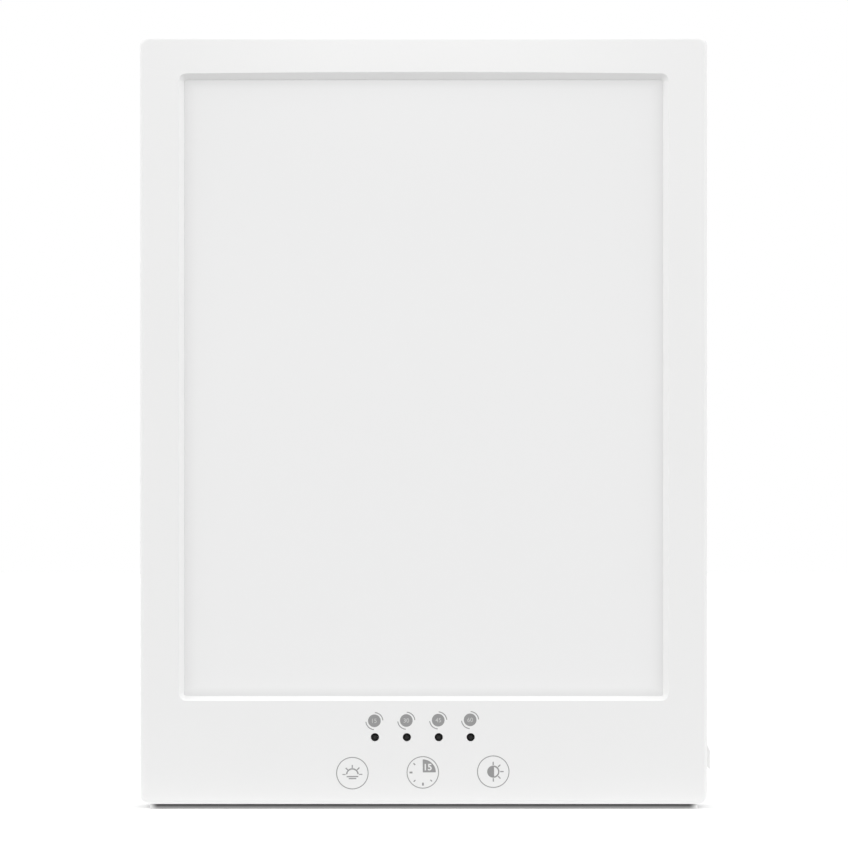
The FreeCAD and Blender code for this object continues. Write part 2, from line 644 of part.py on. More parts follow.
def foot_plan(grow, z_low, z_high):
    """Foot outline as a solid, with the foot folded out: it lies level, behind the hinge."""
    wire = rounded_wire(foot_corners(grow), lambda u, v: V(u, Y_HINGE + v, z_low))
    return Part.Face(wire).extrude(V(0, 0, z_high - z_low))


def foot_side():
    """Side view of the foot as a solid: flat plate, round knuckle and a square stop heel."""
    top = Z_BASE + FOOT_THICKNESS
    rise = top - Z_HINGE
    meet = Y_HINGE + math.sqrt(KNUCKLE_RADIUS ** 2 - rise ** 2)
    end = Y_HINGE + FOOT_LENGTH
    heel = Y_HINGE - KNUCKLE_RADIUS
    corners = [V(-X_ROOT, heel, Z_HINGE), V(-X_ROOT, heel, Z_BASE), V(-X_ROOT, end, Z_BASE),
               V(-X_ROOT, end, top), V(-X_ROOT, meet, top)]
    edges = [Part.LineSegment(a, b).toShape() for a, b in zip(corners, corners[1:])]
    crown = V(-X_ROOT, Y_HINGE, Z_HINGE + KNUCKLE_RADIUS)
    edges.append(Part.Arc(corners[-1], crown, corners[0]).toShape())
    return Part.Face(Part.Wire(edges)).extrude(V(2 * X_ROOT, 0, 0))


def stand_foot():
    """Moulded foot: a thin skin below, walls and a grid of ribs above, bored for its pins."""
    top = Z_BASE + FOOT_THICKNESS
    foot = foot_side().common(foot_plan(0.0, Z_BASE - OVERSHOOT, Z_HINGE + 2 * KNUCKLE_RADIUS))
    y_low = Y_HINGE + KNUCKLE_RADIUS + FOOT_WALL
    y_high = Y_HINGE + FOOT_LENGTH
    hollow = foot_plan(-FOOT_WALL, Z_BASE + FOOT_SKIN, top + OVERSHOOT).common(
        box(-X_ROOT, X_ROOT, y_low, y_high, Z_BASE, top + OVERSHOOT))
    column = FOOT_ROOT_WIDTH / (FOOT_RIB_COLUMNS + 1)
    row = (y_high - FOOT_WALL - y_low) / (FOOT_RIB_ROWS + 1)
    half = FOOT_RIB / 2
    ribs = []
    for n in range(FOOT_RIB_COLUMNS):
        x = -X_ROOT + (n + 1) * column
        ribs.append(box(x - half, x + half, y_low, y_high, Z_BASE, top + OVERSHOOT))
    for n in range(FOOT_RIB_ROWS):
        y = y_low + (n + 1) * row
        ribs.append(box(-X_ROOT, X_ROOT, y - half, y + half, Z_BASE, top + OVERSHOOT))
    foot = foot.cut(hollow.cut(ribs))
    bore_start = X_ROOT - PIN_ENGAGEMENT - TIP_ROOM
    bore = rod_x(bore_start, X_ROOT + OVERSHOOT, Y_HINGE, Z_HINGE, PIN_RADIUS + PIN_GAP)
    return foot.cut([bore, flip_x(bore)]).removeSplitter()


def stand_pad():
    """Right-hand rubber pad under the far end of the foot."""
    x = FOOT_END_WIDTH / 2 - PAD_INSET
    y = Y_HINGE + FOOT_LENGTH - PAD_INSET
    return rod_z(x, y, 0.0, Z_BASE, PAD_RADIUS)


def foot_room(gap):
    """Space for the folding foot: the plate folded up, the turning knuckle, the way out below."""
    inner = Y_BACK - FOOT_THICKNESS - gap
    wire = rounded_wire(foot_corners(gap), lambda u, v: V(u, inner, Z_HINGE + v))
    plate = Part.Face(wire).extrude(V(0, FOOT_THICKNESS + gap + OVERSHOOT, 0))
    side = X_POCKET + gap - POCKET_GAP
    reach = KNUCKLE_RADIUS + gap
    knuckle = rod_x(-side, side, Y_HINGE, Z_HINGE, reach)
    below = box(-side, side, Y_HINGE - reach, Y_BACK + OVERSHOOT, Z_BASE - OVERSHOOT - gap, Z_HINGE)
    return fuse([plate, knuckle, below])


# --- Hinge of the foot ----------------------------------------------------------------
def hinge_pin():
    """Right-hand pin, pressed into its block and running in the foot."""
    return rod_x(X_ROOT - PIN_ENGAGEMENT, X_BLOCK, Y_HINGE, Z_HINGE, PIN_RADIUS)


def friction_plate():
    """Right-hand spring leaf that straddles the pin and rubs on the side of the foot."""
    low = X_ROOT + (FOOT_SIDE_GAP - FRICTION_PLATE) / 2
    slot = PIN_RADIUS + FRICTION_GAP
    half = slot + FRICTION_LEG
    leaf = box(low, low + FRICTION_PLATE, Y_HINGE - half, Y_HINGE + half, Z_HINGE - slot, Z_HINGE + half)
    return leaf.cut(box(low - OVERSHOOT, low + OVERSHOOT, Y_HINGE - slot, Y_HINGE + slot,
                        Z_HINGE - half, Z_HINGE + slot))


# --- Rocker switch --------------------------------------------------------------------
def rocker_cap():
    """V-faced rocker on two trunnions, turned so that its lower half stands proud."""
    end_x = ROCKER_RIDGE - ROCKER_FACE * math.sin(HALF_TRAVEL)
    end_z = ROCKER_FACE * math.cos(HALF_TRAVEL)
    inner_x = ROCKER_RIDGE - ROCKER_DEPTH
    inner_z = end_z * inner_x / end_x
    back = ROCKER_WIDTH / 2
    corners = [V(ROCKER_RIDGE, -back, 0), V(end_x, -back, end_z), V(inner_x, -back, inner_z),
               V(inner_x, -back, -inner_z), V(end_x, -back, -end_z)]
    cap = Part.Face(Part.makePolygon(corners + corners[:1])).extrude(V(0, ROCKER_WIDTH, 0))
    rim = [e for e in cap.Edges if e.BoundBox.XMin > inner_x + ROCKER_EDGE]
    cap = cap.makeChamfer(ROCKER_EDGE, rim)
    stem = box(-STEM_REACH, inner_x, -back, back, -STEM_WIDTH / 2, STEM_WIDTH / 2)
    trunnion = rod_y(0, -back - TRUNNION_LENGTH, back + TRUNNION_LENGTH, 0, TRUNNION_RADIUS)
    rocker = fuse([cap, stem, trunnion])
    rocker.rotate(V(0, 0, 0), V(0, 1, 0), -ROCKER_TRAVEL / 2)
    return rocker.translated(V(X_PIVOT, Y_PIVOT, Z_PIVOT))


def rocker_room(radius_gap, side_gap):
    """Drum that the rocker swings in, about its pivot."""
    side = ROCKER_WIDTH / 2 + side_gap
    return rod_y(X_PIVOT, Y_PIVOT - side, Y_PIVOT + side, Z_PIVOT, ROCKER_SWEEP + radius_gap)


def switch_housing():
    """Box behind the wall that carries the rocker's trunnions."""
    block = box(X_SWITCH_BACK, X_SIDE - WALL, Y_PIVOT - SWITCH_HALF_DEPTH, Y_PIVOT + SWITCH_HALF_DEPTH,
                Z_PIVOT - SWITCH_HALF_HEIGHT, Z_PIVOT + SWITCH_HALF_HEIGHT)
    room = rocker_room(ROCKER_GAP, ROCKER_GAP).common(
        box(X_PIVOT - SWITCH_ROOM, X_SIDE + ROCKER_SWEEP, Y_FRONT, Y_BACK, Z_BASE, Z_TOP))
    reach = ROCKER_WIDTH / 2 + TRUNNION_LENGTH + TRUNNION_GAP
    sockets = rod_y(X_PIVOT, Y_PIVOT - reach, Y_PIVOT + reach, Z_PIVOT, TRUNNION_RADIUS + TRUNNION_GAP)
    return block.cut([room, sockets])


def switch_terminals():
    """Two flat blades on the back of the switch."""
    half = TERMINAL_THICKNESS / 2
    wide = TERMINAL_WIDTH / 2
    return [box(X_SWITCH_BACK - TERMINAL_LENGTH, X_SWITCH_BACK, Y_PIVOT - wide, Y_PIVOT + wide,
                Z_PIVOT + side * TERMINAL_PITCH / 2 - half, Z_PIVOT + side * TERMINAL_PITCH / 2 + half)
            for side in (-1, 1)]


def switch_leads():
    """Flat leads from the blades of the switch round to the control board."""
    x_start = X_SWITCH_BACK - TERMINAL_LENGTH + LEAD_OVERLAP
    x_end = X_BOARD - LEAD_INSET
    path = [(x_start, Y_PIVOT), (x_end, Y_PIVOT), (x_end, Y_BOARD_BACK)]
    edge = band(path, LEAD_THICKNESS, LEAD_BEND, lambda u, v: V(u, v, Z_PIVOT + TERMINAL_THICKNESS / 2))
    lead = edge.extrude(V(0, 0, LEAD_WIDTH))
    return [lead.translated(V(0, 0, side * TERMINAL_PITCH / 2)) for side in (-1, 1)]


# --- Rear cover -----------------------------------------------------------------------
def keyhole():
    """Right-hand keyhole through the rear wall."""
    y_low = Y_WALL - OVERSHOOT
    y_high = Y_BACK + OVERSHOOT
    x = KEYHOLE_SPACING / 2
    half = KEYHOLE_SLOT_RADIUS
    z_high = Z_KEYHOLE + KEYHOLE_SLOT_RISE
    return fuse([rod_y(x, y_low, y_high, Z_KEYHOLE, KEYHOLE_RADIUS), rod_y(x, y_low, y_high, z_high, half),
                 box(x - half, x + half, y_low, y_high, Z_KEYHOLE, z_high)])


def keyhole_room(grow, depth):
    """Right-hand box behind the rear wall, round the head of the screw that the lamp hangs on."""
    x = KEYHOLE_SPACING / 2
    reach = KEYHOLE_RADIUS + grow
    return box(x - reach, x + reach, Y_WALL - depth, Y_WALL, Z_KEYHOLE - reach,
               Z_KEYHOLE + KEYHOLE_SLOT_RISE + reach)


def vents():
    """Rows of slots that let the warm air out, between the keyholes and beside the foot."""
    z_high = Z_TOP - TOP_VENT_BELOW_TOP
    places = [((n - (TOP_VENT_COLUMNS - 1) / 2) * VENT_PITCH_X, z_high - m * VENT_PITCH_Z)
              for n in range(TOP_VENT_COLUMNS)
              for m in range(TOP_VENT_ROWS)]
    x = (X_POCKET + POCKET_WALL + X_SIDE - WALL) / 2
    places += [(side * x, Z_BASE + SIDE_VENT_ABOVE_BASE + m * VENT_PITCH_Z)
               for side in (-1, 1)
               for m in range(SIDE_VENT_ROWS)]
    length = VENT_LENGTH / 2
    half = VENT_WIDTH / 2
    return [box(x - length, x + length, Y_WALL - OVERSHOOT, Y_BACK + OVERSHOOT, z - half, z + half)
            for x, z in places]


def hinge_block():
    """Right-hand block beside the pocket, bored for the pin."""
    return box(X_POCKET, X_BLOCK, Y_HINGE - KNUCKLE_RADIUS, Y_WALL + WALL / 2,
               Z_BASE + WALL / 2, Z_BASE + HINGE_BLOCK_HEIGHT)


def switch_ribs():
    """Shelves above and below the switch, from the rear wall and the side wall."""
    shelves = []
    for side in (-1, 1):
        inner = Z_PIVOT + side * SWITCH_HALF_HEIGHT
        outer = inner + side * SWITCH_RIB
        shelves.append(box(X_SWITCH_BACK, X_SIDE - WALL / 2, Y_PIVOT - SWITCH_HALF_DEPTH, Y_WALL + WALL / 2,
                           min(inner, outer), max(inner, outer)))
    return shelves


def rear_cover():
    outer = shell(Y_PART, Y_BACK, Y_PART, BACK_FILLET)
    hollow = inside(Y_PART - OVERSHOOT, Y_WALL)
    rebate = inside(Y_PART - OVERSHOOT, Y_PART + LIP_HEIGHT + LIP_GAP, LIP_THICKNESS + LIP_GAP)
    cover = outer.cut([hollow, rebate])
    scoop = rod_y(0.0, Y_BACK - SCOOP_DEPTH, Y_BACK + OVERSHOOT, Z_POCKET_TOP, SCOOP_RADIUS)
    scoop_liner = rod_y(0.0, Y_BACK - SCOOP_DEPTH - POCKET_WALL, Y_BACK - WALL / 2, Z_POCKET_TOP,
                        SCOOP_RADIUS + POCKET_WALL)
    linings = foot_room(POCKET_GAP + POCKET_WALL).common(outer)
    paired = [hinge_block(), keyhole_room(KEYHOLE_ROOM + KEYHOLE_LINER, KEYHOLE_DEPTH + KEYHOLE_LINER)]
    pillars = [post(x, z, PILLAR_WIDTH, Y_TRAY, Y_WALL + WALL / 2) for x, z in HOUSING_SCREWS]
    added = [linings, scoop_liner] + pillars + switch_ribs()
    for piece in paired:
        added += both_sides(piece)
    cover = fuse([cover] + added)
    bore = rod_x(X_POCKET - OVERSHOOT, X_BLOCK + OVERSHOOT, Y_HINGE, Z_HINGE, PIN_RADIUS + THREAD_GAP)
    cuts = [foot_room(POCKET_GAP), scoop] + snaps(LIP_GAP) + vents()
    for piece in (keyhole(), keyhole_room(KEYHOLE_ROOM, KEYHOLE_DEPTH), bore):
        cuts += both_sides(piece)
    for x, z in HOUSING_SCREWS:
        cuts.append(rod_y(x, Y_SEAT, Y_BACK + OVERSHOOT, z, COUNTERBORE_RADIUS))
        cuts.append(rod_y(x, Y_TRAY - OVERSHOOT, Y_SEAT + OVERSHOOT, z, SCREW_RADIUS + SCREW_HOLE_GAP))
    cuts.append(rod_y(X_JACK, Y_WALL - OVERSHOOT, Y_BACK + OVERSHOOT, Z_JACK,
                      JACK_NOSE_RADIUS + JACK_NOSE_GAP))
    cuts.append(rocker_room(ROCKER_GAP, ROCKER_GAP).common(
        box(X_SIDE - WALL, X_SIDE + ROCKER_SWEEP, Y_FRONT, Y_BACK, Z_BASE, Z_TOP)))
    return cover.cut(cuts).removeSplitter()


# --- Feet of the panel ----------------------------------------------------------------
def foot_strip(x_low, x_high, y_low, depth):
    """Stick-on rubber strip under the housing, its lower edges broken."""
    strip = box(x_low, x_high, y_low, y_low + depth, 0.0, Z_BASE)
    return strip.makeChamfer(RUBBER_CHAMFER, [e for e in strip.Edges if e.BoundBox.ZMax < Z_BASE / 2])


def front_strip():
    x = X_SIDE - CORNER_RADIUS
    return foot_strip(-x, x, Y_FRONT + FRONT_FILLET + STRIP_INSET, STRIP_DEPTH)


def rear_foot():
    """Right-hand rear foot of the panel."""
    x = X_SIDE - REAR_FOOT_INSET
    return foot_strip(x - REAR_FOOT_LENGTH, x, Y_BACK - BACK_FILLET - STRIP_INSET - REAR_FOOT_DEPTH,
                      REAR_FOOT_DEPTH)


# --- The lamp, node by node -----------------------------------------------------------
def build():
    """Every node's name with its solid or solids."""
    bar = led_bar()
    chips = led_chips()
    pad = stand_pad()
    foot = rear_foot()
    return {
        "front_frame": front_frame(),
        "diffuser_panel": layer(Y_FACE, Y_DIFFUSER),
        "diffuser_film": layer(Y_DIFFUSER, Y_FILM),
        "light_guide": light_guide(),
        "reflector_sheet": layer(Y_GUIDE, Y_REFLECTOR),
        "backlight_tray": backlight_tray(),
        "led_bar_right": bar,
        "led_bar_left": flip_x(bar),
        "led_chips_right": chips,
        "led_chips_left": [flip_x(c) for c in chips],
        "control_board": control_board(),
        "board_parts": board_parts(),
        "touch_pad_left": key_pad(-1),
        "touch_pad_centre": key_pad(0),
        "touch_pad_right": key_pad(1),
        "indicator_leds": indicator_leds(),
        "led_shield": led_shield(),
        "dc_jack": dc_jack(),
        "driver_tape": driver_tape(),
        "driver_board": driver_board(),
        "driver_parts": driver_parts(),
        "ribbon_cable": ribbon_cable(),
        "rear_cover": rear_cover(),
        "housing_screws": [housing_screw(x, z) for x, z in HOUSING_SCREWS],
        "front_foot_strip": front_strip(),
        "rear_foot_right": foot,
        "rear_foot_left": flip_x(foot),
        "stand_foot": stand_foot(),
        "stand_pad_right": pad,
        "stand_pad_left": flip_x(pad),
        "hinge_pins": both_sides(hinge_pin()),
        "friction_plates": both_sides(friction_plate()),
        "rocker_cap": rocker_cap(),
        "switch_housing": switch_housing(),
        "switch_terminals": switch_terminals(),
        "switch_leads": switch_leads(),
    }


def main():
    os.makedirs("parts", exist_ok=True)
    for name, shape in build().items():
        solids = shape if isinstance(shape, list) else shape.Solids
        Part.makeCompound(solids).exportStep(f"parts/{name}.step")


if __name__ == "__main__":
    main()
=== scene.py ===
import json
import math
import bmesh
import bpy
from mathutils import Matrix, Vector


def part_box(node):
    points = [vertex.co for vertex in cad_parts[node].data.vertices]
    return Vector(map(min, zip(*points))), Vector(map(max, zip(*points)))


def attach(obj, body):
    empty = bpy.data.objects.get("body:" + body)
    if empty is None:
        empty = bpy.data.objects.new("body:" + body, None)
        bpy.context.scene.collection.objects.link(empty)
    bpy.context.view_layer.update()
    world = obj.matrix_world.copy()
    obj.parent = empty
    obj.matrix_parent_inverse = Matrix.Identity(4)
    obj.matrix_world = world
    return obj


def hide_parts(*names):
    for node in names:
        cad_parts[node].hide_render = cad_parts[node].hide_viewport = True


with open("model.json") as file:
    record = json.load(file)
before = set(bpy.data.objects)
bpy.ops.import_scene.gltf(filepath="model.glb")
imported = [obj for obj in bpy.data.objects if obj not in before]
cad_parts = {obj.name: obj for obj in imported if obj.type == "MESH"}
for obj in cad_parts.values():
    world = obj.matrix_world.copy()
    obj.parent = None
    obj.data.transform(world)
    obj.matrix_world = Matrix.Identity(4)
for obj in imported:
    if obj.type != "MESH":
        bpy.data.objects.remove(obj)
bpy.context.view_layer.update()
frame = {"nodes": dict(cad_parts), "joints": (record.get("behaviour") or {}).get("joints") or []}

MM = 0.001

# --- Places on the lamp, in millimetres ------------------------------------------------
frame_low, frame_high = [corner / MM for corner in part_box("front_frame")]
FACE_Y = frame_low.y
SIDE_BORDER = 17.9             # from the frame's outside to where the panel shows
TOP_BORDER = 17.6
BOTTOM_BORDER = 44.0
PANEL_HALF_WIDTH = (frame_high.x - frame_low.x) / 2 - SIDE_BORDER
PANEL_TOP = frame_high.z - TOP_BORDER
PANEL_BOTTOM = frame_low.z + BOTTOM_BORDER

led_low, led_high = [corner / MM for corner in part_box("indicator_leds")]
LED_RADIUS = (led_high.z - led_low.z) / 2
LED_Z = (led_low.z + led_high.z) / 2
LED_PITCH = (led_high.x - led_low.x - 2 * LED_RADIUS) / 3
LED_X = [led_low.x + LED_RADIUS + n * LED_PITCH for n in range(4)]

pads = [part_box(f"touch_pad_{side}") for side in ("left", "centre", "right")]
KEY_X = [(low.x + high.x) / 2 / MM for low, high in pads]
KEY_Z = (pads[1][0].z + pads[1][1].z) / 2 / MM

PIVOT = [v / MM for v in next(j for j in frame["joints"] if j["name"] == "rocker_tilt")["pos_m"]]
RIDGE = 7.0                    # the ridge between the rocker's halves, outward from its pivot
ROCKER_FACE = 8.15             # length of one half of its face
HALF_TRAVEL = math.radians(13.0)


# --- Node graphs -----------------------------------------------------------------------
class Graph:
    """A node tree, with short ways to add nodes and to feed them numbers and sockets."""

    def __init__(self, tree):
        self.nodes = tree.nodes
        self.links = tree.links

    def add(self, kind):
        return self.nodes.new("ShaderNode" + kind)

    def feed(self, node, inputs):
        """Give a node its inputs, as numbers or sockets by the input's name or place."""
        for key, value in inputs.items():
            if isinstance(value, bpy.types.NodeSocket):
                self.links.new(value, node.inputs[key])
            else:
                node.inputs[key].default_value = value
        return node

    def math(self, operation, *values):
        node = self.add("Math")
        node.operation = operation
        return self.feed(node, dict(enumerate(values))).outputs["Value"]

    def ramp(self, value, from_low, from_high, to_low, to_high, kind="LINEAR"):
        node = self.add("MapRange")
        node.interpolation_type = kind
        inputs = {"Value": value, "From Min": from_low, "From Max": from_high,
                  "To Min": to_low, "To Max": to_high}
        return self.feed(node, inputs).outputs["Result"]

    def noise(self, where, size_mm, detail):
        inputs = {"Vector": where, "Scale": 1 / (size_mm * MM), "Detail": detail}
        return self.feed(self.add("TexNoise"), inputs).outputs["Fac"]

    def axes(self, coordinates):
        """X, Y and Z of the object's coordinates or of the direction of a ray."""
        where = self.add("TexCoord").outputs[coordinates]
        return self.feed(self.add("SeparateXYZ"), {"Vector": where}).outputs

    def seen_directly(self):
        """1 for rays from the camera, for reflections and for what shows through clear material."""
        path = self.add("LightPath").outputs
        seen = self.math("MAXIMUM", path["Is Camera Ray"], path["Is Glossy Ray"])
        return self.math("MAXIMUM", seen, path["Is Transmission Ray"])


# --- Materials -------------------------------------------------------------------------
def srgb(value):
    """Linear value of an 8-bit grey."""
    v = value / 255
    return v / 12.92 if v <= 0.04045 else ((v + 0.055) / 1.055) ** 2.4


def finish_of(name, colour, roughness, grain, depth, blotch=0.02, spread=0.06, patch=60.0,
              cells=False, brushed=None, edge=None, sockets=None):
    """Node material: tinted colour, mottled roughness and a fine grain.

    grain is the size of the texture's features in millimetres and depth the height of its bumps.
    blotch is the share by which the colour varies over patches of the size patch, and spread
    the variation of the roughness. The grain is made of cells, drawn out by the scales in
    brushed, or plain. edge is the radius by which sharp edges look rounded.
    """
    mat = bpy.data.materials.new(name)
    mat.use_nodes = True
    graph = Graph(mat.node_tree)
    where = graph.add("TexCoord").outputs["Object"]

    darker = [c * (1 - blotch) for c in colour] + [1]
    lighter = [min(c * (1 + blotch), 1) for c in colour] + [1]
    tint = graph.add("Mix")
    tint.data_type = "RGBA"
    graph.feed(tint, {0: graph.noise(where, patch, 3), 6: darker, 7: lighter})
    mottle = graph.ramp(graph.noise(where, grain * 6, 4), 0.3, 0.7, roughness - spread,
                        roughness + spread)

    if cells:
        texture = graph.feed(graph.add("TexVoronoi"), {"Vector": where, "Scale": 1 / (grain * MM)})
        height = texture.outputs["Distance"]
    elif brushed:
        drawn_out = graph.feed(graph.add("Mapping"), {"Vector": where, "Scale": brushed})
        height = graph.noise(drawn_out.outputs["Vector"], grain, 2)
    else:
        height = graph.noise(where, grain, 2)
    bump = graph.feed(graph.add("Bump"), {"Distance": depth * MM, "Strength": 1.0, "Height": height})
    if edge:
        rounded = graph.feed(graph.add("Bevel"), {"Radius": edge * MM})
        rounded.samples = 6
        graph.feed(bump, {"Normal": rounded.outputs["Normal"]})

    shader = graph.nodes["Principled BSDF"]
    graph.feed(shader, {"Base Color": tint.outputs[2], "Roughness": mottle,
                        "Normal": bump.outputs["Normal"]})
    graph.feed(shader, sockets or {})
    return mat


def graded(mat, shade):
    """Multiply a material's colour by a factor worked out from the place on the piece."""
    graph = Graph(mat.node_tree)
    shader = graph.nodes["Principled BSDF"]
    scaled = graph.add("VectorMath")
    scaled.operation = "SCALE"
    graph.feed(scaled, {0: shader.inputs["Base Color"].links[0].from_socket,
                        "Scale": shade(graph, graph.axes("Object"))})
    graph.feed(shader, {"Base Color": scaled.outputs["Vector"]})


WHITE = srgb(236)
OPAL = srgb(237)
INK = srgb(147)
PALE_INK = srgb(206)
WHITE_INK = srgb(232)
shell_white = finish_of("shell_white", (WHITE, WHITE, WHITE * 0.998), 0.42, 0.28, 0.006,
                        blotch=0.006, cells=True, edge=0.25,
                        sockets={"IOR": 1.48, "Specular IOR Level": 0.42})
foot_white = finish_of("foot_white", (WHITE, WHITE, WHITE * 0.998), 0.46, 0.3, 0.008,
                       blotch=0.008, cells=True, edge=0.25, sockets={"IOR": 1.48})
rocker_white = finish_of("rocker_white", (0.86, 0.86, 0.855), 0.24, 0.5, 0.001,
                         blotch=0.01, spread=0.04, edge=0.3, sockets={"IOR": 1.5})
film_white = finish_of("film_white", (0.85, 0.85, 0.85), 0.3, 0.1, 0.003, blotch=0.01)
acrylic = finish_of("acrylic", (0.95, 0.98, 0.98), 0.06, 1.0, 0.0005, blotch=0.005, spread=0.02,
                    sockets={"Transmission Weight": 0.9, "IOR": 1.49})
tray_metal = finish_of("tray_metal", (0.62, 0.63, 0.64), 0.34, 0.12, 0.002, blotch=0.05,
                       brushed=(0.02, 1.0, 1.0), edge=0.2, sockets={"Metallic": 1.0})
board_white = finish_of("board_white", (0.78, 0.79, 0.77), 0.3, 0.4, 0.002)
board_green = finish_of("board_green", (0.015, 0.13, 0.05), 0.28, 0.5, 0.003, blotch=0.12,
                        patch=6.0, sockets={"Coat Weight": 0.4, "Coat Roughness": 0.15})
chip_yellow = finish_of("chip_yellow", (0.82, 0.70, 0.22), 0.35, 0.3, 0.003, blotch=0.05)
part_black = finish_of("part_black", (0.022, 0.022, 0.024), 0.5, 0.22, 0.006, blotch=0.15,
                       edge=0.2)
foam_grey = finish_of("foam_grey", (0.09, 0.09, 0.09), 0.9, 0.35, 0.08, blotch=0.2, cells=True)
screw_zinc = finish_of("screw_zinc", (0.58, 0.59, 0.60), 0.28, 0.08, 0.002, blotch=0.08,
                       spread=0.1, sockets={"Metallic": 1.0})
brass = finish_of("brass", (0.72, 0.52, 0.20), 0.3, 0.1, 0.002, blotch=0.08,
                  brushed=(1.0, 0.05, 1.0), sockets={"Metallic": 1.0})
cable_grey = finish_of("cable_grey", (0.28, 0.29, 0.31), 0.42, 0.6, 0.02, blotch=0.06,
                       brushed=(1.0, 0.02, 0.02))
rubber = finish_of("rubber", (0.30, 0.30, 0.30), 0.72, 0.16, 0.012, blotch=0.12, spread=0.1,
                   cells=True, edge=0.2)
# Grey silicone of the front foot strip; a painted shadow is multiplied into its colour further down.
silicone_painted_shadow = finish_of("silicone_painted_shadow", (0.5, 0.5, 0.5), 0.6, 0.2, 0.01, blotch=0.05)
# Opal diffuser panel; painted shade darkens its rim and its upper part further down.
opal_painted_rim_shade = finish_of("opal_painted_rim_shade", (OPAL, OPAL, OPAL), 0.55, 0.12, 0.004, blotch=0.004,
                     patch=120.0, sockets={"IOR": 1.49, "Specular IOR Level": 0.3})
led_smoked = finish_of("led_smoked", (0.006, 0.006, 0.006), 0.22, 0.6, 0.001, blotch=0.1,
                       sockets={"IOR": 1.5, "Specular IOR Level": 0.3})
print_grey = finish_of("print_grey", (INK, INK, INK), 0.55, 0.12, 0.003, blotch=0.03, patch=2.0)
print_pale = finish_of("print_pale", (PALE_INK, PALE_INK, PALE_INK), 0.55, 0.12, 0.003, patch=2.0)
print_white = finish_of("print_white", (WHITE_INK, WHITE_INK, WHITE_INK), 0.55, 0.12, 0.003,
                        patch=2.0)

STRIP_HEIGHT = 1.95            # of the front foot strip, in millimetres
STRIP_SHADOW_DARKEST = 0.018             # painted shadow: the strip's darkest shade, under the body
STRIP_SHADOW_LIFT = 0.92             # the painted shadow lightens by this toward the floor
STRIP_CURVE = 1.8              # power of that growth
STRIP_ENDS = (110, 114.5)      # where the painted shadow begins and finishes fading toward its ends
# the strip's ends, where the painted shadow has faded, take this factor
STRIP_SHADOW_END_LIFT = 1.7
SIDE_FADE = 6                  # width of the panel's painted rim shade at its sides
EDGE_FADE = 5                  # and at its top and bottom
RIM_LOSS = 0.05                # painted shade: the rim's loss of light at the sides and the top
# painted shade at the rim's bottom
BOTTOM_LOSS = 0.12
UPPER_START = 0.6              # the upper part's painted shade starts at this share of the panel's top
UPPER_LOSS = 0.022


def strip_painted_shadow(graph, place):
    """Painted shadow: the strip is dark under the body and paler toward the floor and at its ends.
    """
    rise = graph.math("MULTIPLY", place["Z"], -1 / (STRIP_HEIGHT * MM))
    drop = graph.math("MAXIMUM", graph.math("ADD", rise, 1.0), 0.0)
    paler = graph.math("MULTIPLY", graph.math("POWER", drop, STRIP_CURVE), STRIP_SHADOW_LIFT)
    end = graph.ramp(graph.math("ABSOLUTE", place["X"]), STRIP_ENDS[0] * MM, STRIP_ENDS[1] * MM,
                     0.0, 1.0, "SMOOTHSTEP")
    middle = graph.math("MULTIPLY", graph.math("ADD", paler, STRIP_SHADOW_DARKEST),
                        graph.math("SUBTRACT", 1.0, end))
    return graph.math("ADD", middle, graph.math("MULTIPLY", end, STRIP_SHADOW_END_LIFT))


def panel_painted_shade(graph, place):
    """Painted shade: the panel is a shade darker near its edges, in the recess behind the frame, and
    in its upper part.
    """
    def loss(value, start, stop, most):
        return graph.ramp(value, start * MM, stop * MM, 0.0, most, "SMOOTHSTEP")

    aside = loss(graph.math("ABSOLUTE", place["X"]), PANEL_HALF_WIDTH - SIDE_FADE,
                 PANEL_HALF_WIDTH, RIM_LOSS)
    above = loss(place["Z"], PANEL_TOP - EDGE_FADE, PANEL_TOP, RIM_LOSS)
    below = loss(place["Z"], PANEL_BOTTOM + EDGE_FADE, PANEL_BOTTOM, BOTTOM_LOSS)
    rim = graph.math("MAXIMUM", aside, graph.math("MAXIMUM", above, below))
    upper = loss(place["Z"], UPPER_START * PANEL_TOP, PANEL_TOP, UPPER_LOSS)
    return graph.math("SUBTRACT", 1.0, graph.math("ADD", rim, upper))


# Painted shade: a shadow under the body on the foot strip, and a darker rim and upper part on the
# panel.
graded(silicone_painted_shadow, strip_painted_shadow)
graded(opal_painted_rim_shade, panel_painted_shade)

CAD_FINISH = {
    "front_frame": shell_white, "rear_cover": shell_white, "stand_foot": foot_white,
    "rocker_cap": rocker_white, "diffuser_panel": opal_painted_rim_shade, "diffuser_film": film_white,
    "light_guide": acrylic, "reflector_sheet": film_white, "backlight_tray": tray_metal,
    "led_bar_right": board_white, "led_bar_left": board_white, "led_chips_right": chip_yellow,
    "led_chips_left": chip_yellow, "control_board": board_green, "board_parts": part_black,
    "touch_pad_left": foam_grey, "touch_pad_centre": foam_grey, "touch_pad_right": foam_grey,
    "indicator_leds": led_smoked, "led_shield": part_black, "dc_jack": part_black,
    "driver_tape": foam_grey, "driver_board": board_green, "driver_parts": part_black,
    "housing_screws": screw_zinc, "front_foot_strip": silicone_painted_shadow, "rear_foot_right": rubber,
    "rear_foot_left": rubber, "stand_pad_right": rubber, "stand_pad_left": rubber,
    "hinge_pins": screw_zinc, "friction_plates": screw_zinc, "switch_housing": part_black,
    "switch_terminals": brass, "ribbon_cable": cable_grey, "switch_leads": cable_grey,
}
for node, mat in CAD_FINISH.items():
    mesh = frame["nodes"][node].data
    mesh.materials.clear()
    mesh.materials.append(mat)
    for face in mesh.polygons:
        face.material_index = 0


# --- Building pieces -------------------------------------------------------------------
CAP_SHARE = 0.7                # height of a digit as a share of the font's size


def added(name, data):
    """New object in the scene."""
    obj = bpy.data.objects.new(name, data)
    bpy.context.scene.collection.objects.link(obj)
    return obj


